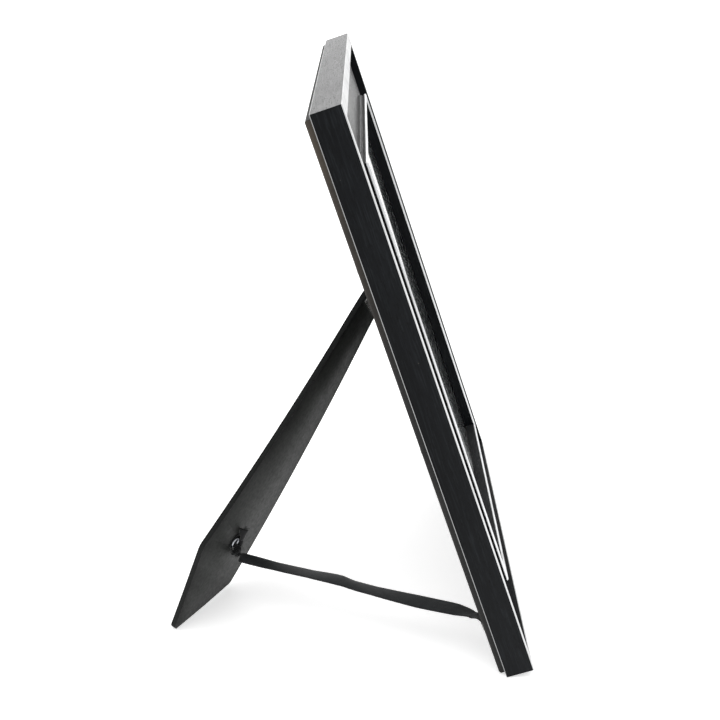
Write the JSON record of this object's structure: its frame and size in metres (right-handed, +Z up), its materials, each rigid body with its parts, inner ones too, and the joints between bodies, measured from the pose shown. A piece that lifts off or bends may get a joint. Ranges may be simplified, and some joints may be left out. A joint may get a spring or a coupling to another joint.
{
  "type": "picture frame",
  "caption": "tabletop picture frame with a black wood-veneer moulding, silver edge trims and a diagonal swing-out strut held by a ribbon",
  "frame": {"origin": "middle of the footprint, on the table", "axes": "+Z up, -Y is the side the picture faces, X across the picture; the frame leans back on its strut"},
  "size_m": [0.275, 0.2064, 0.3129],
  "materials": {
    "black_veneer": "satin, open vertical grain",
    "silver_trim": "satin silver foil",
    "glass": "clear, flat",
    "print_paper": "plain black sheet",
    "backing_card": "matt",
    "black_board": "matt fibreboard",
    "strut_board": "smooth paper-faced fibreboard",
    "hardware_steel": "nickel plated",
    "ribbon": "woven ribbon"
  },
  "bodies": {
    "frame": {"button_screw_bottom": "hardware_steel", "button_screw_far_high": "hardware_steel", "button_screw_far_low": "hardware_steel", "button_screw_near_high": "hardware_steel", "button_screw_near_mid": "hardware_steel", "button_screw_top": "hardware_steel", "easel_back": "black_board", "edge_trim_bottom": "silver_trim", "edge_trim_far": "silver_trim", "edge_trim_near": "silver_trim", "edge_trim_top": "silver_trim", "filler_board": "backing_card", "fillet_bottom": "silver_trim", "fillet_far": "silver_trim", "fillet_near": "silver_trim", "fillet_top": "silver_trim", "glass": "glass", "hinge_leaf_back": "hardware_steel", "hinge_pin": "hardware_steel", "hinge_rivet_back_1": "hardware_steel", "hinge_rivet_back_2": "hardware_steel", "moulding_bottom": "black_veneer", "moulding_far": "black_veneer", "moulding_near": "black_veneer", "moulding_top": "black_veneer", "print": "print_paper", "rear_trim_bottom": "silver_trim", "rear_trim_far": "silver_trim", "rear_trim_near": "silver_trim", "rear_trim_top": "silver_trim", "ribbon": "ribbon", "ribbon_tack": "hardware_steel", "slip_bottom": "black_veneer", "slip_far": "black_veneer", "slip_near": "black_veneer", "slip_top": "black_veneer", "spacer_board": "backing_card", "sub_frame_bottom": "black_board", "sub_frame_far": "black_board", "sub_frame_near": "black_board", "sub_frame_top": "black_board"},
    "strut": {"eyelet": "hardware_steel", "hinge_leaf_strut": "hardware_steel", "hinge_rivet_strut_1": "hardware_steel", "hinge_rivet_strut_2": "hardware_steel", "strut": "strut_board"},
    "turn_button_near_high": {"turn_button_near_high": "hardware_steel"},
    "turn_button_near_mid": {"turn_button_near_mid": "hardware_steel"},
    "turn_button_far_high": {"turn_button_far_high": "hardware_steel"},
    "turn_button_far_low": {"turn_button_far_low": "hardware_steel"},
    "turn_button_top": {"turn_button_top": "hardware_steel"},
    "turn_button_bottom": {"turn_button_bottom": "hardware_steel"}
  },
  "joints": [
    {"name": "strut_hinge", "type": "hinge", "parent": "frame", "child": "strut", "pos_m": [0.02076, -0.02269, 0.17821], "axis": [0.7674, -0.2047, -0.6076], "range_deg": [-41.5, 0], "deforming": ["ribbon"]},
    {"name": "turn_near_high", "type": "hinge", "parent": "frame", "child": "turn_button_near_high", "pos_m": [-0.1083, -0.00806, 0.22618], "axis": [0, -0.9477, 0.3193], "range_deg": [-90, 90]},
    {"name": "turn_near_mid", "type": "hinge", "parent": "frame", "child": "turn_button_near_mid", "pos_m": [-0.1083, -0.04191, 0.12572], "axis": [0, -0.9477, 0.3193], "range_deg": [-90, 90]},
    {"name": "turn_far_high", "type": "hinge", "parent": "frame", "child": "turn_button_far_high", "pos_m": [0.1083, -0.00934, 0.22239], "axis": [0, -0.9477, 0.3193], "range_deg": [-90, 90]},
    {"name": "turn_far_low", "type": "hinge", "parent": "frame", "child": "turn_button_far_low", "pos_m": [0.1083, -0.05404, 0.08971], "axis": [0, -0.9477, 0.3193], "range_deg": [-90, 90]},
    {"name": "turn_top", "type": "hinge", "parent": "frame", "child": "turn_button_top", "pos_m": [-0.008, 0.00975, 0.27906], "axis": [0, -0.9477, 0.3193], "range_deg": [-90, 90]},
    {"name": "turn_bottom", "type": "hinge", "parent": "frame", "child": "turn_button_bottom", "pos_m": [0.012, -0.07537, 0.02641], "axis": [0, -0.9477, 0.3193], "range_deg": [-90, 90]}
  ]
}
